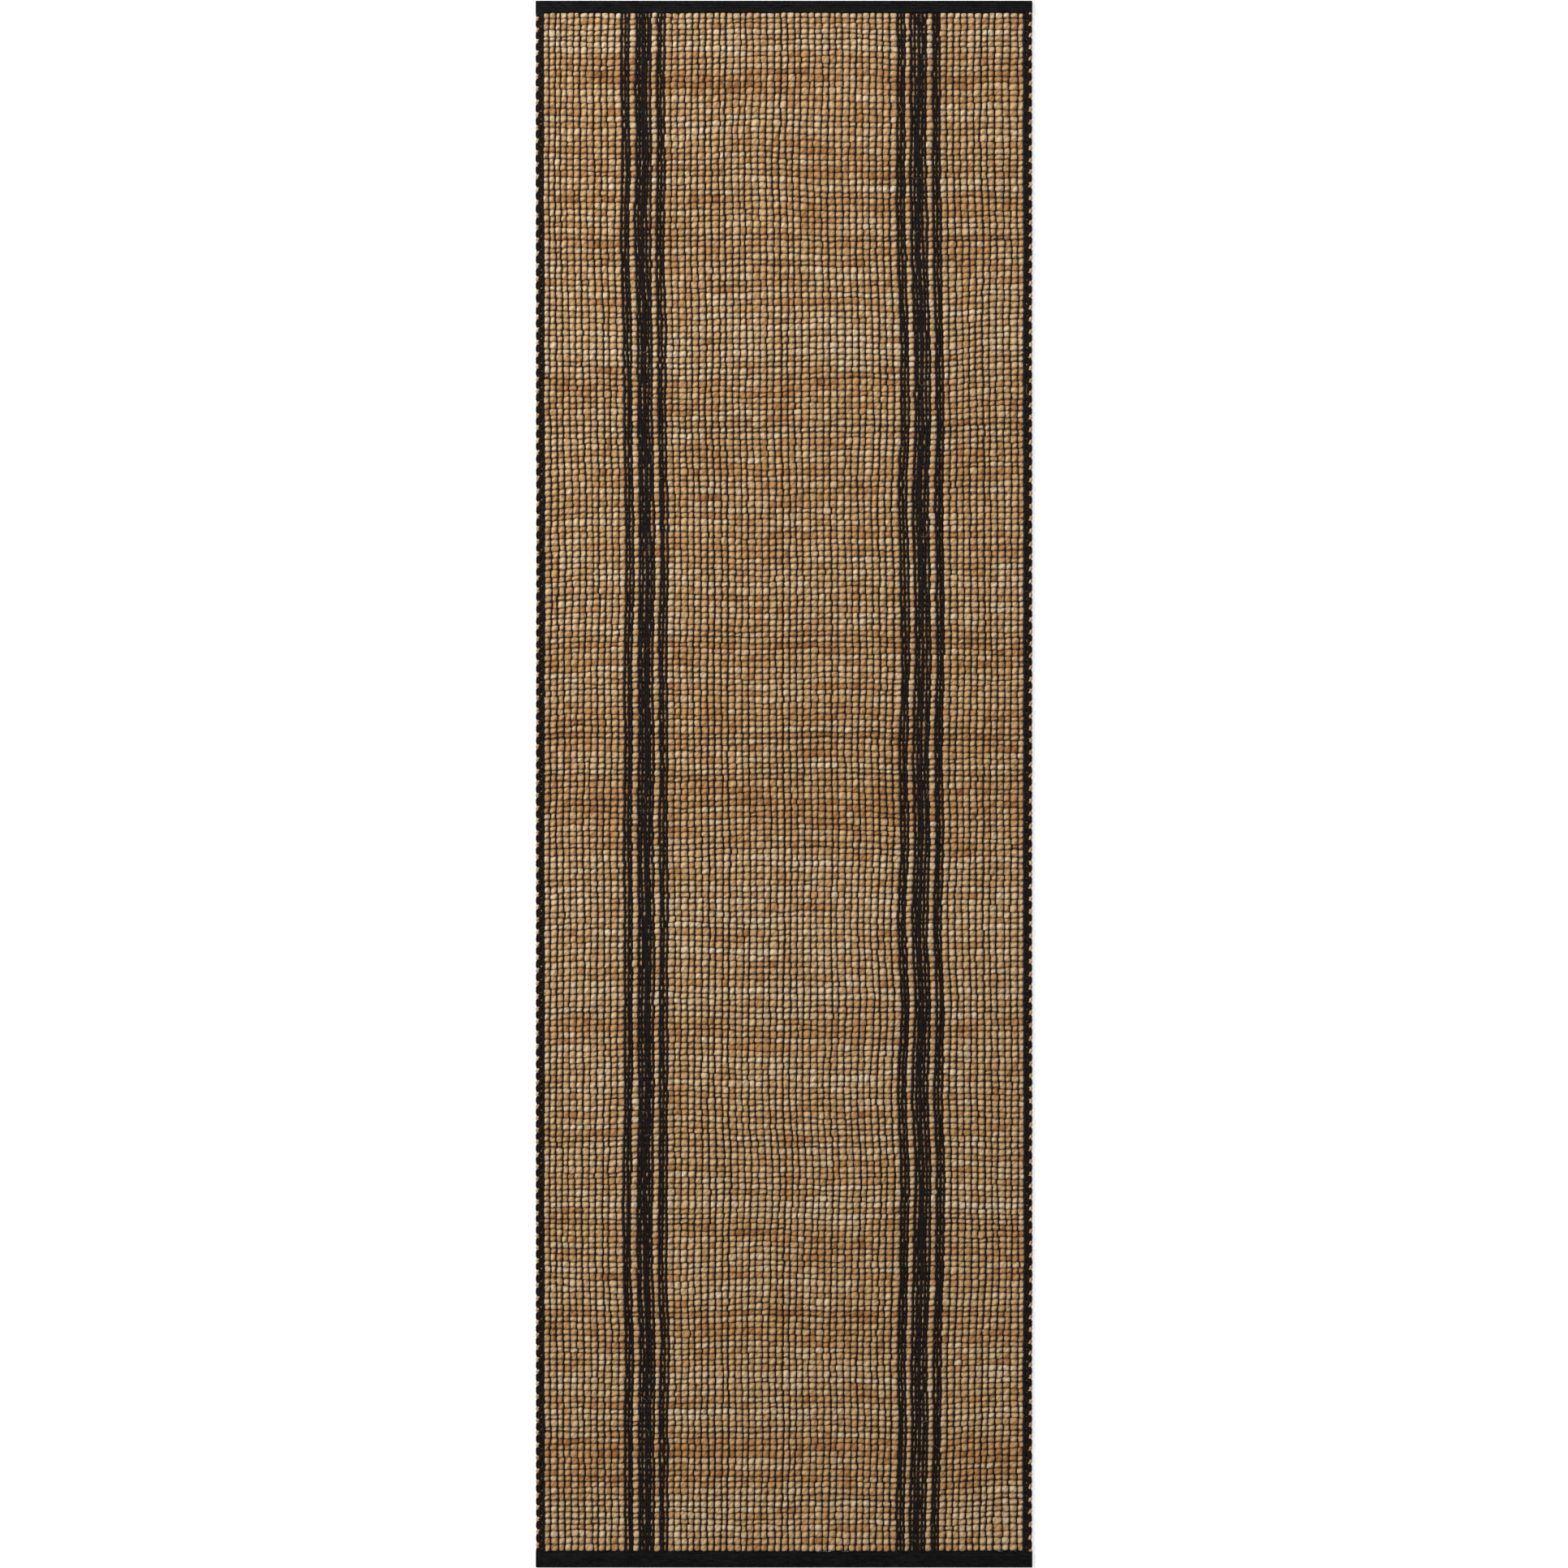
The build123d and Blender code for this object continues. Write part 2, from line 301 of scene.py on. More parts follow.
def attribute(tree, name, output):
    return add(tree, "ShaderNodeAttribute", attribute_name=name).outputs[output]


def scaled(tree, vector, scale):
    return add(tree, "ShaderNodeMapping", {"Vector": vector, "Scale": scale}).outputs[0]


def noise(tree, vector, scale=1.0, detail=3.0, roughness=0.55):
    return add(tree, "ShaderNodeTexNoise", {
        "Vector": vector, "Scale": scale, "Detail": detail, "Roughness": roughness,
    }).outputs["Fac"]


def ramp(tree, factor, stops):
    made = add(tree, "ShaderNodeValToRGB", {"Fac": factor})
    while len(made.color_ramp.elements) < len(stops):
        made.color_ramp.elements.new(0.5)
    for element, (place, color) in zip(made.color_ramp.elements, stops):
        element.position = place
        element.color = (*color, 1)
    return made.outputs["Color"]


def mapped(tree, factor, low, high):
    """Noise's usual range, 0.25 to 0.75, spread from low to high."""
    return add(tree, "ShaderNodeMapRange", {"Value": factor, "From Min": 0.25, "From Max": 0.75,
                                            "To Min": low, "To Max": high}).outputs[0]


def multiplied(tree, color, factor):
    return add(tree, "ShaderNodeVectorMath", {0: color, 1: factor},
               operation="MULTIPLY").outputs[0]


def bumped(tree, shader, height, strength, distance):
    bump = add(tree, "ShaderNodeBump", {"Height": height, "Strength": strength,
                                        "Distance": distance})
    tree.links.new(bump.outputs[0], shader.inputs["Normal"])


def jute_material():
    """Natural jute roving: straw to reddish brown, streaked along its loose fibres."""
    material, tree, shader = node_material("jute")
    yarn = attribute(tree, "yarn", "Vector")
    streaks = noise(tree, scaled(tree, yarn, (110, 1100, 1100)), detail=4.0, roughness=0.65)
    patches = noise(tree, scaled(tree, yarn, (110, 260, 260)), detail=3.0)
    tone = add(tree, "ShaderNodeMath", {0: attribute(tree, "tone", "Fac"),
                                        1: mapped(tree, patches, -0.20, 0.20)}).outputs[0]
    color = ramp(tree, tone, [
        (0.0, (0.23, 0.085, 0.020)),
        (0.3, (0.36, 0.180, 0.060)),
        (0.6, (0.455, 0.298, 0.146)),
        (1.0, (0.565, 0.450, 0.312)),
    ])
    # The groove between the roving's two strands crosses each bead at a slant; its shadow is
    # painted into the colour as a darkening
    across = add(tree, "ShaderNodeSeparateXYZ", {0: yarn}).outputs[1]
    ragged = noise(tree, scaled(tree, yarn, (300, 300, 300)), detail=2.0)
    across = add(tree, "ShaderNodeMath", {
        0: across, 1: mapped(tree, ragged, -1.1 * MM, 1.1 * MM)}).outputs[0]
    across = add(tree, "ShaderNodeMath", {0: across}, operation="ABSOLUTE").outputs[0]
    groove = add(tree, "ShaderNodeMapRange", {
        "Value": across, "From Min": 2.7 * MM, "From Max": 4.0 * MM, "To Min": 1.0,
        "To Max": 0.52}).outputs[0]
    color = multiplied(tree, color, mapped(tree, streaks, 0.62, 1.22))
    # painted shade: darkens the colour in the groove between the two strands
    color = multiplied(tree, color, groove)
    # Painted shade: where the shade attribute is low, the colour is darkened and warmed towards
    # brown, as shadow and light bounced off the jute would
    painted_shade_tint = ramp(tree, attribute(tree, "shade", "Fac"), [(0.2, (0.26, 0.17, 0.08)),
                                                        (1.0, (1.0, 1.0, 1.0))])
    color = multiplied(tree, color, painted_shade_tint)
    tree.links.new(color, shader.inputs["Base Color"])
    tree.links.new(mapped(tree, streaks, 0.95, 0.78), shader.inputs["Roughness"])
    bumped(tree, shader, streaks, 0.8, 0.9 * MM)
    shader.inputs["Specular IOR Level"].default_value = 0.25
    shader.inputs["Sheen Weight"].default_value = 0.10
    shader.inputs["Sheen Roughness"].default_value = 0.6
    shader.inputs["Sheen Tint"].default_value = (1.0, 0.9, 0.75, 1)
    return material


def cotton_material(name, dark, light, streak_scale, sheen):
    """Black cotton yarn: nearly black, with lighter fibre ends along it."""
    material, tree, shader = node_material(name)
    yarn = attribute(tree, "yarn", "Vector")
    fibres = noise(tree, scaled(tree, yarn, streak_scale), detail=4.0, roughness=0.65)
    fluff = noise(tree, scaled(tree, yarn, (420, 420, 420)), detail=3.0)
    middle = [(d + l) / 2 for d, l in zip(dark, light)]
    color = ramp(tree, fibres, [(0.35, dark), (0.62, middle), (0.8, light)])
    tree.links.new(multiplied(tree, color, mapped(tree, fluff, 0.7, 1.35)),
                   shader.inputs["Base Color"])
    tree.links.new(mapped(tree, fibres, 0.98, 0.8), shader.inputs["Roughness"])
    bumped(tree, shader, fibres, 0.6, 0.35 * MM)
    shader.inputs["Specular IOR Level"].default_value = 0.03
    shader.inputs["Sheen Weight"].default_value = sheen
    shader.inputs["Sheen Roughness"].default_value = 0.55
    shader.inputs["Sheen Tint"].default_value = (0.5, 0.49, 0.52, 1)
    return material


jute = jute_material()
cotton = cotton_material("black_cotton", (0.0055, 0.0030, 0.0012), (0.026, 0.0145, 0.0060),
                         (160, 1800, 1800), 0.0)
fluff_cotton = cotton_material("black_fluff", (0.015, 0.013, 0.013), (0.09, 0.082, 0.08),
                               (160, 1500, 1500), 0.01)
stripe_cotton = cotton_material("black_stripe_cord", (0.0014, 0.0011, 0.0011),
                                (0.026, 0.020, 0.019), (160, 1500, 1500), 0.003)


# ---------------------------------------------------------------- where the yarns run

# The lines between rows: single rows are narrower and wider, and so are tens of rows
line_pitches = 1 + rng.normal(0, 0.055, ROW_COUNT)
line_pitches += np.repeat(rng.normal(0, 0.03, ROW_COUNT // 10), 10)
line_y = field_start + np.concatenate([[0], np.cumsum(line_pitches)]) * (
    (field_end - field_start) / line_pitches.sum())

# Each face yarn wanders a little by itself, the two at the selvedges less than the rest
WANDER_STEP = 7            # rows from one value to the next
wander_values = rng.normal(0, 0.50 * MM, (len(yarn_x), ROW_COUNT // WANDER_STEP + 3))
wander_values += rng.normal(0, 0.30 * MM, (len(yarn_x), 1))
wander_values[[0, -1]] *= 0.3
jiggle_values = rng.normal(0, 0.58 * MM, (len(yarn_x), ROW_COUNT + 3))
jiggle_values[[0, -1]] *= 0.4


def wander(rows):
    """How far each face yarn lies from its place, at these rows."""
    rows = np.asarray(rows, float)
    return noise_line(wander_values, rows / WANDER_STEP) + noise_line(jiggle_values, rows + 0.5)


# Stations of one jute pick: (yarn, share of the way to the next yarn, offset, crown, belly,
# girth). crown is 1 on top of a bead and 0 below a face yarn. belly is 1 where the jute bulges
# out of the back and 0 above a back yarn. girth is the pick's width there, as a share of its
# full width.
UNDER_YARN = (0.0, 1.0, 0.72)                     # crown, belly and girth
BEAD_FOOT, BEAD_SHOULDER, BEAD_TOP = (0.36, 0.95, 0.80), (0.93, 0.72, 0.98), (1.0, 0.0, 1.0)
SPECK_FOOT, SPECK_TOP = (0.55, 0.7, 0.72), (1.0, 0.0, 0.80)
BEAD_FOOT_OUT, SPECK_FOOT_OUT = 1.02, 0.9         # half widths away from the yarn's middle
BEAD_SHOULDER_SHARE = 0.28
stations = []
for n in range(last):
    stations.append((n, 0.0, 0.0, *UNDER_YARN))
    if is_bead[n]:
        stations.append((n, 0.0, yarn_half[n] * BEAD_FOOT_OUT, *BEAD_FOOT))
        stations.append((n, BEAD_SHOULDER_SHARE, 0.0, *BEAD_SHOULDER))
        stations.append((n, 0.5, 0.0, *BEAD_TOP))
        stations.append((n, 1 - BEAD_SHOULDER_SHARE, 0.0, *BEAD_SHOULDER))
        stations.append((n, 1.0, -yarn_half[n + 1] * BEAD_FOOT_OUT, *BEAD_FOOT))
    elif is_speck[n]:
        stations.append((n, 0.0, yarn_half[n] * SPECK_FOOT_OUT, *SPECK_FOOT))
        stations.append((n, 0.5, 0.0, *SPECK_TOP))
        stations.append((n, 1.0, -yarn_half[n + 1] * SPECK_FOOT_OUT, *SPECK_FOOT))
stations.append((last - 1, 1.0, 0.0, *UNDER_YARN))
first_yarn, share, offset, crown, belly, girth = (np.array(c) for c in zip(*stations))
first_yarn = first_yarn.astype(int)

rows = np.arange(ROW_COUNT)
pick_yarns = yarn_x[:, None] + wander(rows + 0.5)                 # (yarns, rows)
station_x = (pick_yarns[first_yarn] * (1 - share)[:, None]
             + pick_yarns[first_yarn + 1] * share[:, None] + offset[:, None]).T

# The line between two rows wavers from bead to bead
middle_x = (yarn_x[1:] + yarn_x[:-1]) / 2
SLUB_STEP = 32 * MM
slub_count = int(2 * half_width / SLUB_STEP) + 3
slubs = noise_line(rng.normal(0, 0.65 * MM, (ROW_COUNT + 1, slub_count)),
                   (middle_x + half_width) / SLUB_STEP)
slubs += rng.normal(0, 0.50 * MM, slubs.shape)
slubs[[0, -1]] *= 0.4
straight_x = yarn_x[first_yarn] * (1 - share) + yarn_x[first_yarn + 1] * share + offset
between = np.stack([np.interp(straight_x, middle_x, line) for line in slubs])
lines_at = line_y[:, None] + between                               # (rows + 1, stations)
pick_y = (lines_at[1:] + lines_at[:-1]) / 2
full_half = (lines_at[1:] - lines_at[:-1]) / 2


def per_bead(middle, size):
    """A random number for each bead of each row, given to all the stations of its bead."""
    return rng.normal(middle, size, (ROW_COUNT, len(gaps)))[:, first_yarn]


# Each bead is a little slimmer than its row
GAP_STEP = 75 * MM
OPEN_ROWS, OPEN_GAP = 0.14, 0.5 * MM      # share of all rows, and how far they stand apart
WIDE_ROWS, WIDE_GAP = 0.05, 1.1 * MM
LEAST_GAP, MOST_GAP = -0.2 * MM, 1.8 * MM
FATTEST_BEAD, THINNEST_BEAD = -0.5 * MM, 1.5 * MM
row_gap = noise_line(rng.normal(0.33 * MM, 0.34 * MM, (ROW_COUNT, 12)),
                     (yarn_x[first_yarn] + half_width) / GAP_STEP)
row_gap = row_gap + (rng.random((ROW_COUNT, 1)) < OPEN_ROWS) * OPEN_GAP
row_gap = row_gap + (rng.random((ROW_COUNT, 1)) < WIDE_ROWS) * WIDE_GAP
pick_half = (full_half - np.clip(row_gap, LEAST_GAP, MOST_GAP)
             - np.clip(per_bead(0.0, 0.55 * MM), FATTEST_BEAD, THINNEST_BEAD))

# Beads lean as the roving's twist does, and some bulge out over the yarns beside them
lean = per_bead(0.42 * MM, 0.5 * MM)
on_bead = is_bead[first_yarn] * crown
low_y = pick_y.copy()        # the pick's lower half stays in its row and fills it
pick_y = pick_y + lean * (share - 0.5) * 2 * on_bead
station_x = station_x + per_bead(0, 0.40 * MM) * on_bead
bulge = per_bead(0.1 * MM, 0.35 * MM)
is_shoulder = is_bead[first_yarn] & (np.abs(share - 0.5) < 0.3) & (share != 0.5)
station_x = station_x + np.sign(share - 0.5) * np.where(is_shoulder, bulge, 0)
pick_half = pick_half * rng.normal(1, 0.05, pick_half.shape)

# Heights: the crown of each bead, and the level that a yarn presses it down to
WARP_SINK, WARP_HEIGHT = 0.4 * MM, 1.8 * MM
GROUND_SINK = 0.9 * MM        # the ground yarns lie deeper than the stripe's full cords
CLEAR = 0.15 * MM
PRESSED = thickness - GROUND_SINK - WARP_HEIGHT + CLEAR
DEEPEST_BEAD = 1.1 * MM
SPECK_SINK = 1.1 * MM         # specks lie deeper than beads, for a few rows at a time
SPECK_STEP = 4                # rows from one value to the next
HIGHEST_SPECK, DEEPEST_SPECK = 0.5 * MM, 2.9 * MM
bead_sink = np.minimum(np.abs(rng.normal(0, 0.42 * MM, (ROW_COUNT, len(gaps)))), DEEPEST_BEAD)
speck_values = rng.normal(SPECK_SINK, 0.8 * MM, (len(gaps), ROW_COUNT // SPECK_STEP + 3))
speck_sink = noise_line(speck_values, rows / SPECK_STEP).T
speck_sink = speck_sink + np.abs(rng.normal(0, 0.5 * MM, bead_sink.shape))
speck_sink = np.clip(speck_sink, HIGHEST_SPECK, DEEPEST_SPECK)
sink = np.where(is_bead, bead_sink, speck_sink)[:, first_yarn]
top_z = PRESSED + (thickness - sink - PRESSED) * crown
bottom_z = (thickness - PRESSED) * (1 - belly) + CLEAR
bottom_z = bottom_z + np.abs(per_bead(0, 0.12 * MM))


# ---------------------------------------------------------------- jute weft

TWIST_LENGTH = 27 * MM        # for one full turn of the roving's two strands
ROVING_RADIUS = 4 * MM
TOP_ANGLES = np.radians([0, 32, 68, 112, 148, 180])
BACK_ANGLES = np.radians([222, 270, 318])
pick_angles = np.concatenate([TOP_ANGLES, BACK_ANGLES])
SQUARENESS = 0.88             # under 1 makes a section squarer than an ellipse
OVERLAP = 0.3 * MM            # of two neighbours' lower halves, so that no light comes through
NEARLY_STRAIGHT = 0.9
FLOOR_CLEAR = 0.05 * MM

# Half a loop, ring by ring from the pick's end to the loop's outermost point
TURN_INSET = np.array([8.9, 5.4, 3.2, 2.75]) * MM     # from the rug's side to its middle
TURN_SHARE = np.array([1.0, 0.74, 0.46, 0.0])         # of the way back to the row's middle
TURN_HALF = np.array([2.6, 2.1, 2.3, 2.75]) * MM
TURN_TOP = np.array([7.6, 8.4, 8.8, 8.9]) * MM
TURN_BOTTOM = np.array([1.8, 1.1, 0.5, 0.4]) * MM
TURN_SHOWS = np.array([0.4, 0.6, 1.0, 1.0])           # 0 where it is deep in shadow
LOOP_SLANT = 1.7 * MM         # a loop's upper half lies to the right of its lower half


def turn(side, line):
    """The half of a loop at each row's end on one side, from under the edge cords outwards
    to the line that it shares with its neighbour."""
    station = 0 if side == LEFT else -1
    end_y = lines_at[line, station][:, None]
    start_y = pick_y[:, station][:, None]
    slant = np.where(TURN_SHARE < 1, TURN_SHARE, 0)
    x = side * (half_width - TURN_INSET) + LOOP_SLANT * np.sign(start_y - end_y) * slant
    y = end_y + (start_y - end_y) * TURN_SHARE
    tables = [np.broadcast_to(t, x.shape) for t in (
        TURN_HALF, TURN_TOP, TURN_BOTTOM, TURN_HALF, TURN_SHOWS)]
    return [x, y, *tables, y]


# Even picks run from right to left and odd ones back, so a pick ends where the next begins
left_line = np.where(rows % 2 == 0, rows + 1, rows)
right_line = np.where(rows % 2 == 0, rows, rows + 1)
SPECK_SHOWS = 0.45            # between two cords a speck is half in shadow
shows = crown * np.where(is_speck[first_yarn], SPECK_SHOWS, 1.0) + 0 * pick_y
run = [station_x, pick_y, pick_half * girth, top_z, bottom_z, full_half, shows, low_y]
left_turn, right_turn = turn(LEFT, left_line), turn(RIGHT, right_line)
pick = [np.concatenate([a[:, ::-1], b, c], 1) for a, b, c in zip(left_turn, run, right_turn)]
pick_tone_x = pick[0][0].copy()
backwards = rows % 2 == 0
pick = [np.where(backwards[:, None], table[:, ::-1], table) for table in pick]

# A pick's last ring is the next one's first, so the weft is one unbroken yarn
weft = [np.concatenate([table[:, :-1].ravel(), table[-1:, -1]]) for table in pick]
weft_x, weft_y, weft_half, weft_top, weft_bottom, weft_fill, weft_shows, weft_low_y = weft
rings_per_pick = pick[0].shape[1] - 1

step = np.gradient(np.stack([weft_x, weft_y], -1), axis=0)
step /= np.linalg.norm(step, axis=-1, keepdims=True)
straight = np.abs(step[:, 0]) > NEARLY_STRAIGHT
step[straight] = np.stack([np.sign(step[straight, 0]), 0 * step[straight, 0]], -1)
cosine, sine = np.cos(pick_angles), np.sin(pick_angles)
cosine = np.sign(cosine) * np.abs(cosine) ** SQUARENESS
sine = np.sign(sine) * np.abs(sine) ** SQUARENESS
middle_z = (weft_top + weft_bottom) / 2
up = (weft_top - weft_bottom) / 2
run_length = np.concatenate([[0], np.cumsum(np.hypot(np.diff(weft_x), np.diff(weft_y)))])
ply_angle = pick_angles + 2 * np.pi * run_length[:, None] / TWIST_LENGTH
crease = np.cos(ply_angle) ** 8                # between the roving's two strands
lumps = 1.02 + rng.normal(0, 0.022, ply_angle.shape) - 0.10 * crease
rings = np.empty((*ply_angle.shape, 3))
is_low = np.sin(pick_angles) < 0.1
out = np.where(is_low, weft_fill[:, None] + OVERLAP, weft_half[:, None] * lumps) * cosine
rings[..., 0] = weft_x[:, None] - step[:, 1:] * out
rings[..., 1] = np.where(is_low, weft_low_y[:, None], weft_y[:, None]) + step[:, :1] * out
rings[..., 2] = middle_z[:, None] + up[:, None] * sine * lumps
rings[..., 2] = np.clip(rings[..., 2], FLOOR_CLEAR, thickness)
rings = drifted(rings)

# Painted shade, darkening the jute's colour: 1 on a crown, less down a bead's sides and below a
# yarn, where shadow lies
SIDE_SHADE, EDGE_SHADE, HIDDEN_SHADE, BACK_SHADE = 0.42, 0.26, 0.45, 0.9
upward = np.clip(np.sin(pick_angles) * 1.25 - 0.25, 0, 1)
shade = np.where(is_low, EDGE_SHADE, SIDE_SHADE + (1 - SIDE_SHADE) * upward)
shade = shade * (HIDDEN_SHADE + (1 - HIDDEN_SHADE) * weft_shows[:, None])
shade[:, len(TOP_ANGLES):] = BACK_SHADE

# Tone: each length of roving has its own, which drifts along it, and each bead a little more
MIDDLE_TONE = 0.54
TONE_STEP, TONE_ROWS = 55 * MM, 7          # from one value to the next, along and across
LEAST_TONE, MOST_TONE = 0.02, 0.98
tone_rows = MIDDLE_TONE + rng.normal(0, 0.065, ROW_COUNT)
tone_rows = tone_rows + noise_line(rng.normal(0, 0.070, (1, 40)), rows / TONE_ROWS)[0]
tone_places = (pick_tone_x + half_width) / TONE_STEP
tone = tone_rows[:, None] + np.stack([
    noise_line(rng.normal(0, 0.10, (1, 20)), tone_places)[0] for _ in rows])
tone[:, len(TURN_HALF):-len(TURN_HALF)] += per_bead(0, 0.10)
tone = np.where(backwards[:, None], tone[:, ::-1], tone)
weft_tone = np.clip(np.concatenate([tone[:, :-1].ravel(), tone[-1:, -1]]), LEAST_TONE,
                    MOST_TONE)

ROWS_PER_STRIP = 23
weft_yarn_space = np.stack([
    run_length[:, None] + 0 * ply_angle, ROVING_RADIUS * np.cos(ply_angle),
    ROVING_RADIUS * np.sin(ply_angle)], -1)
for number, first_row in enumerate(range(0, ROW_COUNT, ROWS_PER_STRIP), 1):
    strip_rows = min(ROWS_PER_STRIP, ROW_COUNT - first_row)
    part = slice(first_row * rings_per_pick, (first_row + strip_rows) * rings_per_pick + 1)
    piece = tube_piece(
        f"jute_weft_{number:02d}", rings[None, part],
        {"tone": weft_tone[None, part, None], "yarn": weft_yarn_space[None, part],
         "shade": shade[None, part]},
        jute, "jute_weft", strips=strip_rows)


# ---------------------------------------------------------------- warps

LOW = 4.9 * MM             # centre of a face yarn between two picks
STRIPE_LOW = 6.3 * MM      # the stripe's full cords sink less
FACE_STEPS, BACK_STEPS = 4, 3              # rings from one pick to the next
HEM_DIP = 3 * MM           # from the field's end to where a yarn is down below the tape
HIDDEN_END = half_length - 1.5 * MM
JITTER = 0.10 * MM
THIN_TWIST, THIN_RADIUS = 7 * MM, 1 * MM


def warp_rings(x, half, rows_wander, on_face, around, steps, low=LOW, sink=WARP_SINK,
               spread=1.0, uneven=0.08):
    """Yarns along the rug: over the picks and down between them on the face, or the same
    upside down in the back. spread is how much wider they are between the picks. Both ends
    go on under the hem tapes."""
    place = np.arange(ROW_COUNT * steps + 1) / steps         # 0 is a line, 0.5 a pick
    wave = 0.5 - 0.5 * np.cos(2 * np.pi * place)
    y = np.interp(place, np.arange(ROW_COUNT + 1), line_y)
    high = thickness - sink - WARP_HEIGHT / 2
    z = low + (high - low) * wave
    under_tape = hem_thickness - TAPE_THICKNESS - WARP_HEIGHT / 2
    y = np.concatenate([[-HIDDEN_END, field_start - HEM_DIP], y,
                        [field_end + HEM_DIP, HIDDEN_END]])
    z = np.concatenate([[under_tape] * 2, z, [under_tape] * 2])
    place = np.concatenate([[0, 0], place, [ROW_COUNT] * 2])
    wave = np.concatenate([[1, 1], wave, [1, 1]])
    if not on_face:
        z = thickness - z
        z[[0, 1, -2, -1]] = TAPE_THICKNESS + WARP_HEIGHT / 2
    across = x[:, None] + rows_wander(place)
    centres = np.stack([across, np.broadcast_to(y, across.shape),
                        np.broadcast_to(z, across.shape)], -1)
    inside = slice(2, -2)
    jitter = rng.normal(0, JITTER, (2, *across[:, inside].shape))
    centres[:, inside, 2] += jitter[0]
    centres[:, inside, 0] += jitter[1]
    width = half[:, None] * (1 + rng.normal(0, uneven, across.shape)) * (
        1 + (spread - 1) * (1 - wave))
    up_half = np.full(across.shape, WARP_HEIGHT / 2)
    up_half[:, inside] *= 1 + rng.normal(0, 0.06, up_half[:, inside].shape)
    made = along(centres, width, up_half, around, 0.85)
    made[..., 2] = np.clip(made[..., 2], FLOOR_CLEAR, thickness)
    return drifted(made)


def yarn_numbers(node):
    return [n for n, yarn in enumerate(face_yarns) if yarn[2] == node]


def thin_yarn_space(made):
    return yarn_space(made, THIN_TWIST, THIN_RADIUS)


def thin_piece(name, node, made, material):
    return tube_piece(name, made, {"yarn": thin_yarn_space(made)}, material, node)


def face_piece(name, node, numbers, material, slot, around, **shape):
    numbers = np.array(numbers)
    made = warp_rings(yarn_x[numbers], yarn_half[numbers], lambda place: wander(place)[numbers],
                      True, around, FACE_STEPS, **shape)
    return thin_piece(name, node, made, material)


def back_rings(pairs, half):
    """Back yarns, each behind the middle of the jute between two face yarns."""
    pairs = np.array(pairs)
    return warp_rings((yarn_x[pairs] + yarn_x[pairs + 1]) / 2, np.full(len(pairs), half),
                      lambda place: (wander(place)[pairs] + wander(place)[pairs + 1]) / 2,
                      False, 4, BACK_STEPS)


for side in ("left", "right"):
    face_piece(f"face_warps_{side}_yarns", "face_warps_" + side,
               yarn_numbers("face_warps_" + side), cotton, "black_cotton", 5, sink=GROUND_SINK)
centre = yarn_numbers("face_warps_centre")
CENTRE_SPLIT = 17          # of 33 yarns, because one piece would have too many faces
for number, part in enumerate((centre[:CENTRE_SPLIT], centre[CENTRE_SPLIT:]), 1):
    face_piece(f"face_warps_centre_{number}", "face_warps_centre", part, cotton,
               "black_cotton", 5, sink=GROUND_SINK)

beads = [n for n in range(len(gaps)) if is_bead[n]]
centre_beads = [n for n in beads if centre[0] - 1 <= n <= centre[-1]]
left_beads = [n for n in beads if n < centre_beads[0]]
right_beads = [n for n in beads if n > centre_beads[-1]]
for name, node, pairs in (
        ("back_warps_left_yarns", "back_warps_left", left_beads),
        ("back_warps_centre_1", "back_warps_centre", centre_beads[:CENTRE_SPLIT]),
        ("back_warps_centre_2", "back_warps_centre", centre_beads[CENTRE_SPLIT:]),
        ("back_warps_right_yarns", "back_warps_right", right_beads)):
    thin_piece(name, node, back_rings(pairs, WARP_WIDTH / 2), cotton)

for node in stripe_yarns:
    numbers = yarn_numbers(node)
    face_piece(node + "_face", node, numbers, stripe_cotton, "black_stripe_cord", 6,
               low=STRIPE_LOW, spread=1.18, uneven=0.14)
    pairs = [n for n in numbers[:-1] if is_speck[n]]
    thin_piece(node + "_back", node, back_rings(pairs, narrow_cord / 2), stripe_cotton)


# ---------------------------------------------------------------- selvedges

# Each edge yarn: its distance from the rug's side and its height between two loops, then
# where it passes a loop, then its height below the tape
EDGE_YARNS = np.array([
    (1.6, 6.8, 6.9, 7.3, 5.9),
    (4.6, 7.0, 8.6, 7.3, 5.7),
    (2.4, 4.5, 2.6, 4.5, 4.0),
    (5.4, 4.5, 8.4, 4.5, 4.0),
    (6.9, 6.5, 9.6, 6.0, 5.5),
    (1.6, 2.2, 6.9, 1.7, 2.4),
    (4.6, 2.0, 8.6, 1.7, 2.4),
    (8.4, 2.3, 9.4, 1.7, 2.4),
]) * MM
EDGE_YARN_HALF, FLATTENED_HALF = 1.75 * MM, 1.0 * MM
EDGE_JITTER = 0.14 * MM
EDGE_STEPS = 6             # rings from one pick to the next
CLEAR_OF_LOOP, PAST_LOOP = 0.36, 0.56      # rows away from a loop's middle


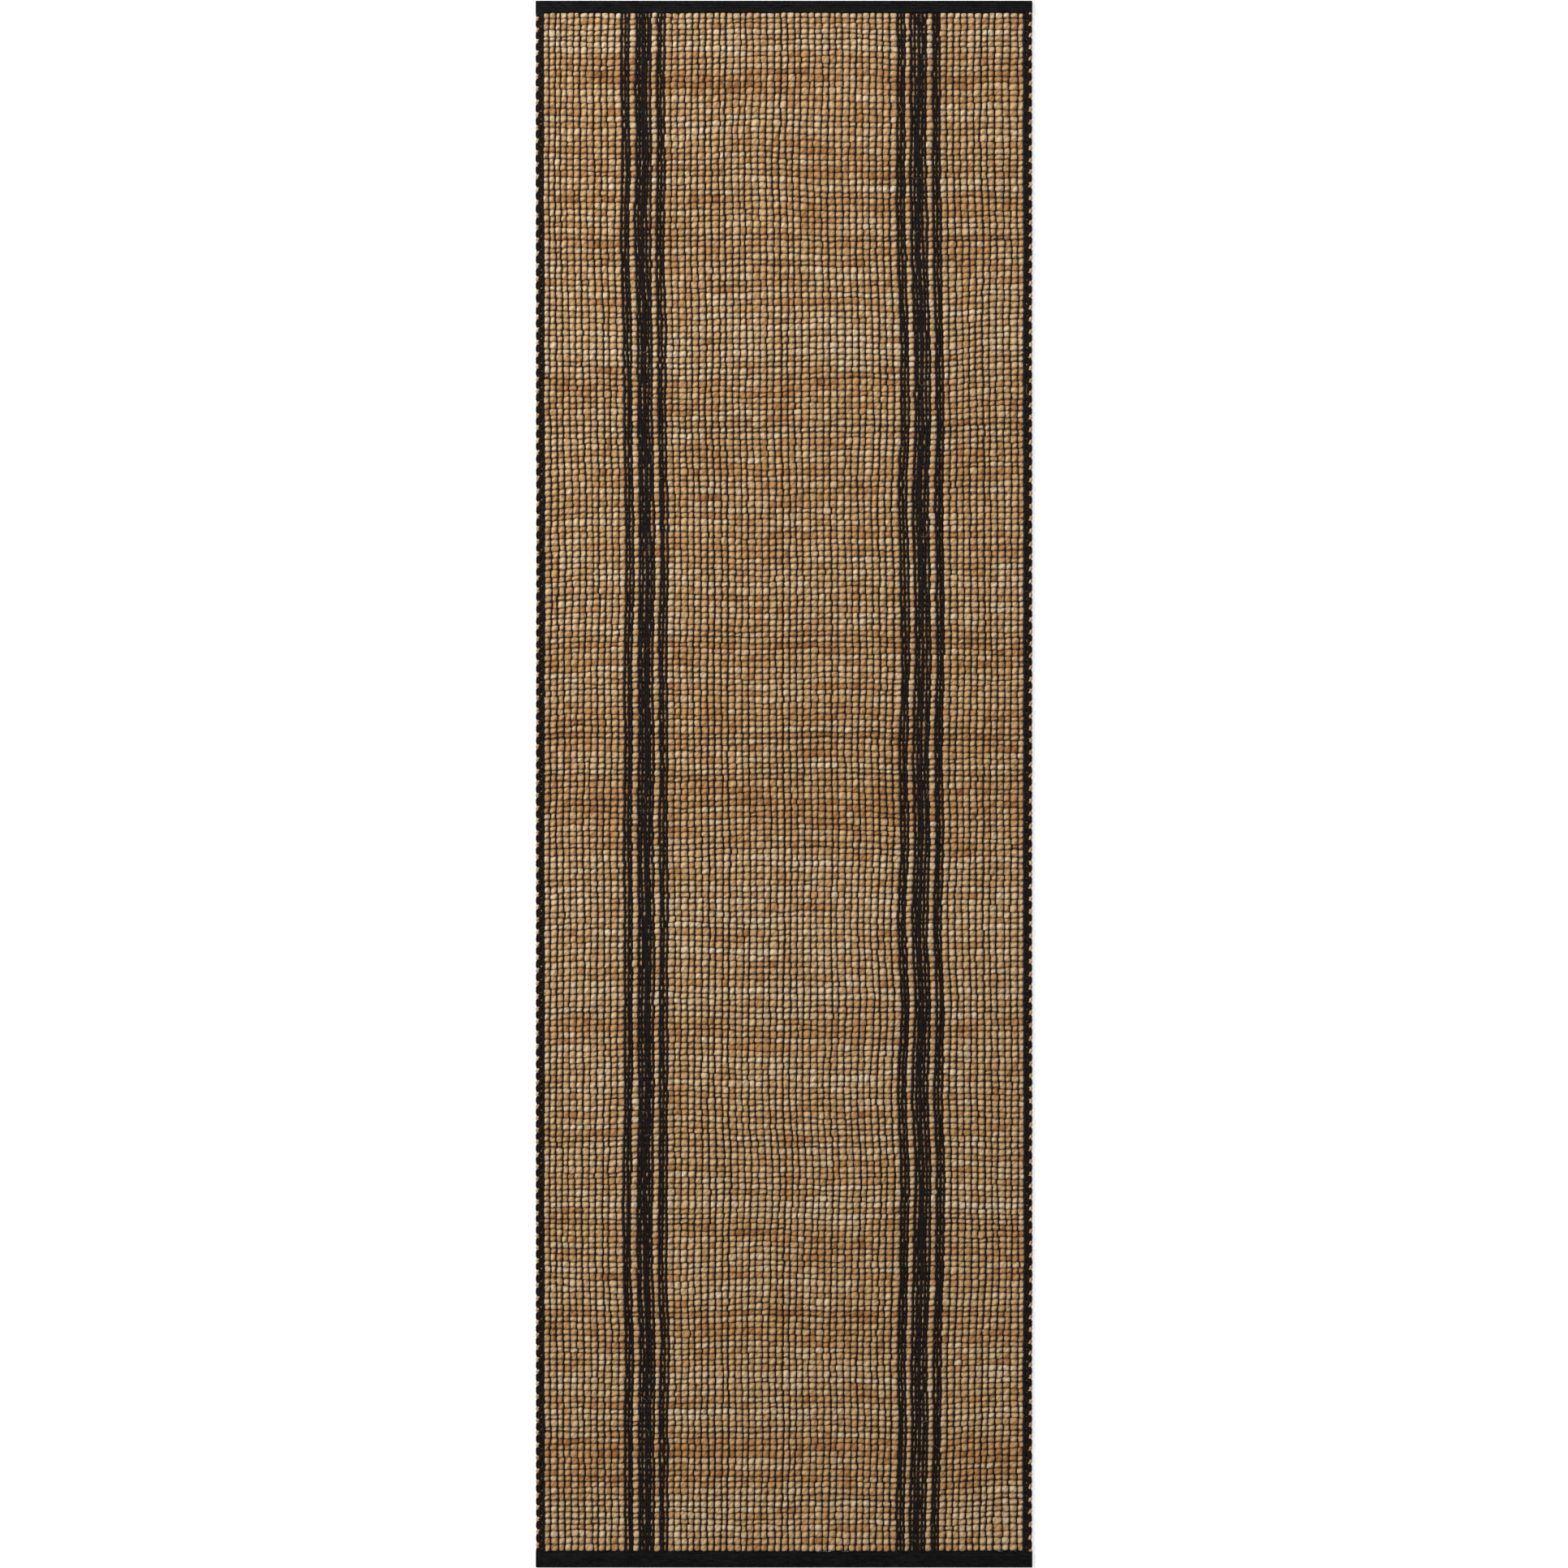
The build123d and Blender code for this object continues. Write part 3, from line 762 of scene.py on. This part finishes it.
def edge_rings(side):
    """Yarns that swing out to the rug's side between two weft loops, and pass over, through
    and under each loop."""
    place = np.arange(ROW_COUNT * EDGE_STEPS + 1) / EDGE_STEPS
    y = np.interp(place, np.arange(ROW_COUNT + 1), line_y)
    loops_at = 1 if side == LEFT else 0            # lines with a loop are odd on the left
    away = np.abs((place - loops_at + 1) % 2 - 1)
    at_loop = eased(np.clip((PAST_LOOP - away) / (PAST_LOOP - CLEAR_OF_LOOP), 0, 1))
    y = np.concatenate([[-HIDDEN_END, field_start - HEM_DIP], y,
                        [field_end + HEM_DIP, HIDDEN_END]])
    centres = np.empty((len(EDGE_YARNS), len(y), 3))
    for n, (out_inset, out_z, loop_inset, loop_z, hem_z) in enumerate(EDGE_YARNS):
        inset = out_inset + (loop_inset - out_inset) * at_loop
        z = out_z + (loop_z - out_z) * at_loop
        centres[n, :, 0] = side * (half_width - np.pad(inset, 2, mode="edge"))
        centres[n, :, 1] = y
        centres[n, :, 2] = np.pad(z, 2, constant_values=hem_z)
    centres[:, 2:-2] += rng.normal(0, EDGE_JITTER, centres[:, 2:-2].shape)
    half = EDGE_YARN_HALF * (1 + rng.normal(0, 0.07, centres.shape[:2]))
    up_half = half.copy()
    up_half[:, [0, 1, -2, -1]] = FLATTENED_HALF        # below the tape
    made = along(centres, half, up_half, 6, 0.95)
    made[..., 0] = np.clip(made[..., 0], -half_width, half_width)
    made[..., 2] = np.clip(made[..., 2], FLOOR_CLEAR, thickness)
    return drifted(made)


for side, name, number in ((LEFT, "selvedge_cords_left", 0),
                           (RIGHT, "selvedge_cords_right", last)):
    thin_piece(name + "_edge", name, edge_rings(side), stripe_cotton)
    face_piece(name + "_inner", name, [number], stripe_cotton, "black_stripe_cord", 6,
               low=STRIPE_LOW, spread=1.1)
    back = warp_rings(yarn_x[[number]], np.array([INNER_CORD_WIDTH / 2]),
                      lambda place: wander(place)[[number]], False, 5, BACK_STEPS)
    thin_piece(name + "_inner_back", name, back, stripe_cotton)


# ---------------------------------------------------------------- binder weft

BINDER_SWING = 1.9 * MM
BINDER_SPLIT = 125         # of 249 picks


def binder_rings():
    """The thin pick on each line between rows: over the face yarns and under the back ones."""
    x = np.sort(np.concatenate([yarn_x, middle_x]))
    z = thickness / 2 + np.where(np.isin(x, yarn_x), BINDER_SWING, -BINDER_SWING)
    y = np.stack([np.interp(x, station_x[0], line) for line in lines_at[1:ROW_COUNT]])
    centres = np.stack([np.broadcast_to(x, y.shape), y, np.broadcast_to(z, y.shape)], -1)
    half = np.full(y.shape, BINDER_SIZE / 2)
    return drifted(along(centres, half, half, 3))


binder = binder_rings()
for number, part in enumerate((binder[:BINDER_SPLIT], binder[BINDER_SPLIT:]), 1):
    thin_piece(f"binder_weft_{number}", "binder_weft", part, cotton)


# ---------------------------------------------------------------- stray fibres

FIBRE_RINGS = 10
JUTE_FIBRES, FLUFF_FIBRES = 420, 1500
FIBRE_SINK = 1.2 * MM         # a fibre's two ends below the crowns
SIDE_ROOM = 1 * MM


def fibre_rings(places, length, lift, half, sideways):
    """Loose ends of fibre that lie over the weave in slack curves, one for each (x, y).
    sideways is the most that one turns from the rug's width, in radians."""
    count, t = len(places), np.linspace(0, 1, FIBRE_RINGS)
    heading = rng.uniform(-sideways, sideways, count) + np.pi * rng.integers(0, 2, count)
    bend = rng.normal(0, 1.3, (count, 1)) * t + rng.normal(0, 0.5, (count, 1)) * np.sin(6 * t)
    heading = heading[:, None] + bend
    step_length = length * rng.uniform(0.4, 1.0, (count, 1)) / (FIBRE_RINGS - 1)
    centres = np.empty((count, FIBRE_RINGS, 3))
    centres[..., 0] = places[:, :1] + np.cumsum(np.cos(heading) * step_length, 1)
    centres[..., 1] = places[:, 1:] + np.cumsum(np.sin(heading) * step_length, 1)
    arch = np.sin(np.pi * t) * rng.uniform(0.2, 1.0, (count, 1))
    centres[..., 2] = thickness - FIBRE_SINK + lift * arch
    room = half_width - SIDE_ROOM
    centres[..., 0] = np.clip(centres[..., 0], -room, room)
    half = np.full(centres.shape[:2], half) * (1 - 0.6 * t)
    return along(centres, half, half, 3)


ends = np.stack([rng.uniform(-half_width, half_width, JUTE_FIBRES),
                 rng.uniform(field_start, field_end, JUTE_FIBRES)], -1) * 0.985
jute_fibres = fibre_rings(ends, 26 * MM, 1.9 * MM, 0.13 * MM, 1.2)
fibre_tone = rng.uniform(0.45, 0.98, (JUTE_FIBRES, 1, 1)) + np.zeros(jute_fibres.shape[:3])
tube_piece("stray_jute_fibres", jute_fibres,
           {"tone": fibre_tone, "yarn": thin_yarn_space(jute_fibres),
            "shade": np.ones(jute_fibres.shape[:3])}, jute, None)
black_x = np.concatenate([[x for x, _ in yarns] for yarns in stripe_yarns.values()]
                         + [[side * (half_width - inset) for inset in (3 * MM, 8 * MM)]
                            for side in (LEFT, RIGHT)])
ends = np.stack([rng.choice(black_x, FLUFF_FIBRES),
                 rng.uniform(field_start, field_end, FLUFF_FIBRES) * 0.995], -1)
fluff = fibre_rings(ends, 8 * MM, 1.4 * MM, 0.09 * MM, 3.0)
thin_piece("cotton_fluff", None, drifted(fluff), fluff_cotton)


# ---------------------------------------------------------------- hem tapes and their sewing

RIB_COUNT = 600
SAMPLES_PER_RIB = 4
RIB_HEIGHT = 0.13 * MM
FOLD_RADIUS = 3.2 * MM
STITCH_PITCH, STITCH_LENGTH = 4.0 * MM, 3.0 * MM
STITCH_PLACES = np.array([0, 0.12, 0.5, 0.88, 1.0])                # along a stitch
STITCH_RISE = np.array([-0.45, -0.05, 0.1, -0.05, -0.45]) * MM
STITCH_TAPER = np.array([0.5, 1, 1, 1, 0.5])
THREAD_HALF = 0.38 * MM
FACE_STITCH_SINK, BACK_STITCH_LEVEL = 0.25 * MM, 0.45 * MM
GROOVE_DEPTH, GROOVE_HALF = 0.45 * MM, 1.0 * MM
FACE_GROOVE = np.array([2.2, 0.9, 0, -0.9, -2.2]) * MM    # section points beside the seam
BACK_GROOVE = np.array([1.5, 0, -1.5]) * MM
TAPE_EDGE = 0.6 * MM
TAPE_SWELL = 0.3 * MM         # the most that a tape rises above its place
tape_x = np.linspace(-half_width, half_width, RIB_COUNT * SAMPLES_PER_RIB)


def fold(face_lap, back_lap, inward):
    """The tape's section: distance from the rug's end and height, from the edge on the face,
    round the end, to the edge on the back. inward is how far inside the outer surface."""
    radius = FOLD_RADIUS - inward
    arc = np.linspace(0, math.pi / 2, 5)
    top = hem_thickness - inward
    corner = [(inward + radius * (1 - math.sin(a)), top - radius * (1 - math.cos(a)))
              for a in arc]
    face = [(face_lap, top), (face_lap - TAPE_EDGE, top)]
    if not inward:
        seam = face_lap - THREAD_INSET
        face += [(seam + gap, top) for gap in FACE_GROOVE]
        face += [((seam + corner[0][0]) / 2, top)]
    face += corner
    lower = [(distance, hem_thickness - z) for distance, z in corner[::-1]]
    back = [(back_lap, inward), (back_lap - TAPE_EDGE, inward)]
    if not inward:
        seam = back_lap - THREAD_INSET
        back += [(seam + gap, inward) for gap in BACK_GROOVE]
        back += [((seam + lower[-1][0]) / 2, inward)]
    return np.array(face + lower + back[::-1])


def tape_material():
    """Black twill tape: fine ribs, with lighter fibre ends on their crests."""
    material, tree, shader = node_material("black_tape")
    place = add(tree, "ShaderNodeTexCoord").outputs["Object"]
    threads = noise(tree, scaled(tree, place, (1600, 260, 260)), detail=4.0, roughness=0.7)
    wear = noise(tree, scaled(tree, place, (60, 60, 60)), detail=3.0)
    lines = noise(tree, scaled(tree, place, (70, 700, 700)), detail=2.0)
    color = ramp(tree, threads, [(0.3, (0.0012, 0.0011, 0.0012)),
                                 (0.55, (0.0038, 0.0034, 0.0036)),
                                 (0.8, (0.015, 0.0135, 0.0135))])
    color = multiplied(tree, color, mapped(tree, lines, 0.3, 2.2))
    tree.links.new(multiplied(tree, color, mapped(tree, wear, 0.75, 1.3)),
                   shader.inputs["Base Color"])
    tree.links.new(mapped(tree, threads, 0.95, 0.75), shader.inputs["Roughness"])
    bumped(tree, shader, threads, 0.4, 0.2 * MM)
    shader.inputs["Specular IOR Level"].default_value = 0.04
    shader.inputs["Sheen Weight"].default_value = 0.003
    shader.inputs["Sheen Roughness"].default_value = 0.5
    return material


tape_black = tape_material()
thread_black = cotton_material("black_thread", (0.005, 0.0048, 0.005), (0.04, 0.038, 0.04),
                               (300, 4000, 4000), 0.02)


def seam_distance(node):
    """How far a line of sewing lies from the rug's end."""
    low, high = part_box(node)
    return half_length - abs((low[1] + high[1]) / 2)


def edge_wave(size, spacing):
    """A slight unevenness along the tape."""
    values = rng.normal(0, size, (1, int(2 * half_width / spacing) + 3))
    return noise_line(values, (tape_x + half_width) / spacing)[0]


def tape_rings(end, face_seam, back_seam, waver, swell):
    """The folded tape, ribbed and drawn in along its stitches, with edges that waver."""
    face_lap, back_lap = face_seam + THREAD_INSET, back_seam + THREAD_INSET
    outer = fold(face_lap, back_lap, 0.0)
    section = np.concatenate([outer, fold(face_lap, back_lap, TAPE_THICKNESS)[::-1]])
    is_outer = np.where(np.arange(len(section)) < len(outer), 1.0, 0.0)
    distance, z = section.T
    on_face = z > hem_thickness / 2
    to_edge = np.clip(distance / np.where(on_face, face_lap, back_lap), 0, 1) ** 2
    step = np.gradient(section, axis=0)
    step /= np.maximum(np.linalg.norm(step, axis=1, keepdims=True), 1e-9)
    rib = RIB_HEIGHT * (0.5 + 0.5 * np.cos(2 * np.pi * np.arange(len(tape_x)) / SAMPLES_PER_RIB))
    inwards = distance + waver[:, None] * to_edge + rib[:, None] * is_outer * step[:, 1]
    height = z + (rib - RIB_HEIGHT)[:, None] * is_outer * step[:, 0]
    pulled = 0.75 + 0.25 * np.cos(2 * np.pi * tape_x / STITCH_PITCH)
    for seam, upwards, is_here in ((face_seam, -1, on_face), (back_seam, 1, ~on_face)):
        groove = GROOVE_DEPTH * np.exp(-((distance - seam) / GROOVE_HALF) ** 2) * is_here
        height += upwards * groove * is_outer * pulled[:, None]
    height += swell[:, None] * on_face * to_edge
    made = np.empty((1, len(tape_x), len(section), 3))
    made[0, ..., 0] = tape_x[:, None]
    made[0, ..., 1] = end * (half_length - np.maximum(inwards, 0))
    made[0, ..., 2] = np.clip(height, 0, hem_thickness + TAPE_SWELL)
    return made if end < 0 else made[:, :, ::-1]


def stitch_rings(node, end, seam, waver, on_face):
    """One line of single stitches, which follow the tape's edge as it wavers."""
    low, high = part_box(node)[0][0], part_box(node)[1][0]
    count = int((high - low) / STITCH_PITCH)
    starts = low + STITCH_PITCH * (np.arange(count) + 0.25)
    centres = np.empty((count, len(STITCH_PLACES), 3))
    centres[..., 0] = starts[:, None] + STITCH_LENGTH * STITCH_PLACES
    slant = rng.normal(0, 0.12 * MM, (count, 1))
    wave = np.interp(centres[..., 0], tape_x, waver)
    centres[..., 1] = end * (half_length - seam - wave) + slant * (STITCH_PLACES - 0.5)
    level = hem_thickness - FACE_STITCH_SINK if on_face else BACK_STITCH_LEVEL
    centres[..., 2] = level + (STITCH_RISE if on_face else -STITCH_RISE)
    half = np.full(centres.shape[:2], THREAD_HALF) * STITCH_TAPER
    made = along(centres, half, half, 5)
    made[..., 2] = np.maximum(made[..., 2], 0.02 * MM)
    return made


def hem(name, end):
    face_seam = seam_distance("hem_thread_face_" + name)
    back_seam = seam_distance("hem_thread_back_" + name)
    face_lap, back_lap = face_seam + THREAD_INSET, back_seam + THREAD_INSET
    waver = edge_wave(0.5 * MM, 30 * MM) + edge_wave(0.3 * MM, 9 * MM)
    swell = edge_wave(0.12 * MM, 25 * MM)
    made = tape_rings(end, face_seam, back_seam, waver, swell)
    piece = tube_piece(f"hem_tape_{name}_cloth", made, {}, tape_black, "hem_tape_" + name)
    for seam, layer in ((face_seam, "face"), (back_seam, "back")):
        node = f"hem_thread_{layer}_{name}"
        at_seam = waver * (seam / max(face_lap, back_lap)) ** 2
        made = stitch_rings(node, end, seam, at_seam, layer == "face")
        thin_piece(node + "_stitches", node, made, thread_black)


hem("head", 1)
hem("foot", -1)


# ---------------------------------------------------------------- floor, light and camera

FLOOR_SIZE, FLOOR_LEVEL, FLOOR_GLOW = 80, -0.3 * MM, 0.5
KEY_PLACE, KEY_SIZE, KEY_WATTS = (-3.6, 2.9, 4.6), 1.6, 690
SKY_STRENGTH = 0.5


def stage():
    bpy.ops.mesh.primitive_plane_add(size=FLOOR_SIZE, location=(0, 0, FLOOR_LEVEL))
    floor = bpy.context.object
    floor.name = "floor"
    material, _, shader = node_material("floor")
    shader.inputs["Base Color"].default_value = (0.9, 0.9, 0.9, 1)
    shader.inputs["Emission Color"].default_value = (1, 1, 1, 1)
    shader.inputs["Emission Strength"].default_value = FLOOR_GLOW
    shader.inputs["Roughness"].default_value = 0.9
    shader.inputs["Specular IOR Level"].default_value = 0.1
    floor.data.materials.append(material)


def area_light(name, place, size, watts):
    """A square lamp that shines on the middle of the rug."""
    data = bpy.data.lights.new(name, "AREA")
    data.size = size
    data.energy = watts
    lamp = bpy.data.objects.new(name, data)
    lamp.location = place
    lamp.rotation_euler = (-Vector(place)).to_track_quat("-Z", "Y").to_euler()
    bpy.context.collection.objects.link(lamp)


stage()
area_light("key", KEY_PLACE, KEY_SIZE, KEY_WATTS)
world = bpy.data.worlds.new("studio")
world.use_nodes = True
sky = world.node_tree.nodes["Background"]
sky.inputs["Color"].default_value = (1, 1, 1, 1)
sky.inputs["Strength"].default_value = SKY_STRENGTH
bpy.context.scene.world = world
bpy.context.scene.view_settings.view_transform = "Standard"

# Straight above, as far away as makes the rug's length fill the frame
LENS, SENSOR = 100.0, 36.0
camera_data = bpy.data.cameras.new("camera")
camera_data.lens, camera_data.sensor_width = LENS, SENSOR
camera = bpy.data.objects.new("camera", camera_data)
camera.location = (0, 0, thickness + 2 * half_length * LENS / SENSOR)
bpy.context.collection.objects.link(camera)
bpy.context.scene.camera = camera
